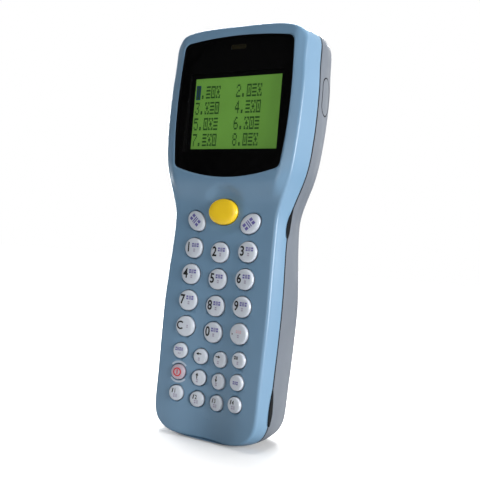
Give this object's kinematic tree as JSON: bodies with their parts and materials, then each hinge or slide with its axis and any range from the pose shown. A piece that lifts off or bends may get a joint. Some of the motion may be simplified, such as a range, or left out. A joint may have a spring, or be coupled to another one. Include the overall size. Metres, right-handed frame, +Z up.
{
  "type": "portable barcode data terminal",
  "caption": "Hand-held data terminal with a green text display, a keypad of round keys, side triggers, a reader in its top end and two cells under a sliding door.",
  "frame": {"origin": "middle of the foot, half way through the depth, on the surface that the terminal stands on", "axes": "+Z up the body to the display end, -Y the way the keypad faces, +X to the right of someone who reads the display"},
  "size_m": [0.0642, 0.0324, 0.1644],
  "materials": {
    "blue_shell": "fine satin moulding",
    "grey_shell": "fine satin moulding",
    "window_glass": "polished",
    "black_print": "gloss print",
    "foam": "closed cell foam",
    "steel": "plated",
    "display_glass": "polished",
    "light_guide": "satin",
    "light_pipe": "polished",
    "mat_rubber": "matt silicone",
    "spring_brass": "plated",
    "board": "solder mask",
    "chip_black": "matt moulding",
    "yellow_key": "domed gloss",
    "white_key": "domed gloss",
    "engine_metal": "black anodised",
    "red_window": "polished filter",
    "tray_plastic": "matt moulding",
    "cell_jacket": "printed film",
    "pad_rubber": "matt rubber"
  },
  "bodies": {
    "housing": {"front_shell": "blue_shell", "back_shell": "grey_shell", "display_window": "window_glass", "window_mask": "black_print", "window_gasket": "foam", "lcd_frame": "chip_black", "lcd_panel": "display_glass", "lcd_backlight": "light_guide", "status_light_pipe": "light_pipe", "keypad_mat": "mat_rubber", "key_contacts": "spring_brass", "main_board": "board", "board_chips": "chip_black", "board_screws": "steel", "beeper": "chip_black", "backup_cell": "steel", "trigger_switches": "chip_black", "scan_engine": "engine_metal", "scan_window": "red_window", "battery_tray": "tray_plastic", "battery_contacts": "spring_brass", "aa_cell_left": "cell_jacket", "aa_cell_right": "cell_jacket", "port_socket": "steel", "case_screws": "steel", "seam_pads": "pad_rubber"},
    "scan_key": {"scan_key": "yellow_key"},
    "key_escape": {"key_escape": "white_key"},
    "key_enter": {"key_enter": "white_key"},
    "key_1": {"key_1": "white_key"},
    "key_2": {"key_2": "white_key"},
    "key_3": {"key_3": "white_key"},
    "key_4": {"key_4": "white_key"},
    "key_5": {"key_5": "white_key"},
    "key_6": {"key_6": "white_key"},
    "key_7": {"key_7": "white_key"},
    "key_8": {"key_8": "white_key"},
    "key_9": {"key_9": "white_key"},
    "key_clear": {"key_clear": "white_key"},
    "key_0": {"key_0": "white_key"},
    "key_point": {"key_point": "white_key"},
    "key_alpha": {"key_alpha": "white_key"},
    "key_left": {"key_left": "white_key"},
    "key_right": {"key_right": "white_key"},
    "key_space": {"key_space": "white_key"},
    "key_power": {"key_power": "white_key"},
    "key_up": {"key_up": "white_key"},
    "key_down": {"key_down": "white_key"},
    "key_backspace": {"key_backspace": "white_key"},
    "key_f1": {"key_f1": "white_key"},
    "key_f2": {"key_f2": "white_key"},
    "key_f3": {"key_f3": "white_key"},
    "key_f4": {"key_f4": "white_key"},
    "trigger_left": {"trigger_left": "grey_shell"},
    "trigger_right": {"trigger_right": "grey_shell"},
    "battery_door": {"battery_door": "grey_shell"}
  },
  "joints": [
    {"name": "scan_key_press", "type": "slide", "parent": "housing", "child": "scan_key", "axis": [0, 1, 0], "range_m": [0, 0.0008], "stiffness_N_per_m": 500, "springref_m": -0.001},
    {"name": "key_escape_press", "type": "slide", "parent": "housing", "child": "key_escape", "axis": [0, 1, 0], "range_m": [0, 0.0008], "stiffness_N_per_m": 500, "springref_m": -0.001},
    {"name": "key_enter_press", "type": "slide", "parent": "housing", "child": "key_enter", "axis": [0, 1, 0], "range_m": [0, 0.0008], "stiffness_N_per_m": 500, "springref_m": -0.001},
    {"name": "key_1_press", "type": "slide", "parent": "housing", "child": "key_1", "axis": [0, 1, 0], "range_m": [0, 0.0008], "stiffness_N_per_m": 500, "springref_m": -0.001},
    {"name": "key_2_press", "type": "slide", "parent": "housing", "child": "key_2", "axis": [0, 1, 0], "range_m": [0, 0.0008], "stiffness_N_per_m": 500, "springref_m": -0.001},
    {"name": "key_3_press", "type": "slide", "parent": "housing", "child": "key_3", "axis": [0, 1, 0], "range_m": [0, 0.0008], "stiffness_N_per_m": 500, "springref_m": -0.001},
    {"name": "key_4_press", "type": "slide", "parent": "housing", "child": "key_4", "axis": [0, 1, 0], "range_m": [0, 0.0008], "stiffness_N_per_m": 500, "springref_m": -0.001},
    {"name": "key_5_press", "type": "slide", "parent": "housing", "child": "key_5", "axis": [0, 1, 0], "range_m": [0, 0.0008], "stiffness_N_per_m": 500, "springref_m": -0.001},
    {"name": "key_6_press", "type": "slide", "parent": "housing", "child": "key_6", "axis": [0, 1, 0], "range_m": [0, 0.0008], "stiffness_N_per_m": 500, "springref_m": -0.001},
    {"name": "key_7_press", "type": "slide", "parent": "housing", "child": "key_7", "axis": [0, 1, 0], "range_m": [0, 0.0008], "stiffness_N_per_m": 500, "springref_m": -0.001},
    {"name": "key_8_press", "type": "slide", "parent": "housing", "child": "key_8", "axis": [0, 1, 0], "range_m": [0, 0.0008], "stiffness_N_per_m": 500, "springref_m": -0.001},
    {"name": "key_9_press", "type": "slide", "parent": "housing", "child": "key_9", "axis": [0, 1, 0], "range_m": [0, 0.0008], "stiffness_N_per_m": 500, "springref_m": -0.001},
    {"name": "key_clear_press", "type": "slide", "parent": "housing", "child": "key_clear", "axis": [0, 1, 0], "range_m": [0, 0.0008], "stiffness_N_per_m": 500, "springref_m": -0.001},
    {"name": "key_0_press", "type": "slide", "parent": "housing", "child": "key_0", "axis": [0, 1, 0], "range_m": [0, 0.0008], "stiffness_N_per_m": 500, "springref_m": -0.001},
    {"name": "key_point_press", "type": "slide", "parent": "housing", "child": "key_point", "axis": [0, 1, 0], "range_m": [0, 0.0008], "stiffness_N_per_m": 500, "springref_m": -0.001},
    {"name": "key_alpha_press", "type": "slide", "parent": "housing", "child": "key_alpha", "axis": [0, 1, 0], "range_m": [0, 0.0008], "stiffness_N_per_m": 500, "springref_m": -0.001},
    {"name": "key_left_press", "type": "slide", "parent": "housing", "child": "key_left", "axis": [0, 1, 0], "range_m": [0, 0.0008], "stiffness_N_per_m": 500, "springref_m": -0.001},
    {"name": "key_right_press", "type": "slide", "parent": "housing", "child": "key_right", "axis": [0, 1, 0], "range_m": [0, 0.0008], "stiffness_N_per_m": 500, "springref_m": -0.001},
    {"name": "key_space_press", "type": "slide", "parent": "housing", "child": "key_space", "axis": [0, 1, 0], "range_m": [0, 0.0008], "stiffness_N_per_m": 500, "springref_m": -0.001},
    {"name": "key_power_press", "type": "slide", "parent": "housing", "child": "key_power", "axis": [0, 1, 0], "range_m": [0, 0.0008], "stiffness_N_per_m": 500, "springref_m": -0.001},
    {"name": "key_up_press", "type": "slide", "parent": "housing", "child": "key_up", "axis": [0, 1, 0], "range_m": [0, 0.0008], "stiffness_N_per_m": 500, "springref_m": -0.001},
    {"name": "key_down_press", "type": "slide", "parent": "housing", "child": "key_down", "axis": [0, 1, 0], "range_m": [0, 0.0008], "stiffness_N_per_m": 500, "springref_m": -0.001},
    {"name": "key_backspace_press", "type": "slide", "parent": "housing", "child": "key_backspace", "axis": [0, 1, 0], "range_m": [0, 0.0008], "stiffness_N_per_m": 500, "springref_m": -0.001},
    {"name": "key_f1_press", "type": "slide", "parent": "housing", "child": "key_f1", "axis": [0, 1, 0], "range_m": [0, 0.0008], "stiffness_N_per_m": 500, "springref_m": -0.001},
    {"name": "key_f2_press", "type": "slide", "parent": "housing", "child": "key_f2", "axis": [0, 1, 0], "range_m": [0, 0.0008], "stiffness_N_per_m": 500, "springref_m": -0.001},
    {"name": "key_f3_press", "type": "slide", "parent": "housing", "child": "key_f3", "axis": [0, 1, 0], "range_m": [0, 0.0008], "stiffness_N_per_m": 500, "springref_m": -0.001},
    {"name": "key_f4_press", "type": "slide", "parent": "housing", "child": "key_f4", "axis": [0, 1, 0], "range_m": [0, 0.0008], "stiffness_N_per_m": 500, "springref_m": -0.001},
    {"name": "trigger_left_press", "type": "slide", "parent": "housing", "child": "trigger_left", "axis": [1, 0, 0], "range_m": [0, 0.0006], "stiffness_N_per_m": 800, "springref_m": -0.001},
    {"name": "trigger_right_press", "type": "slide", "parent": "housing", "child": "trigger_right", "axis": [-1, 0, 0], "range_m": [0, 0.0006], "stiffness_N_per_m": 800, "springref_m": -0.001},
    {"name": "battery_door_slide", "type": "slide", "parent": "housing", "child": "battery_door", "axis": [0, 0, -1], "range_m": [0, 0.062]}
  ]
}
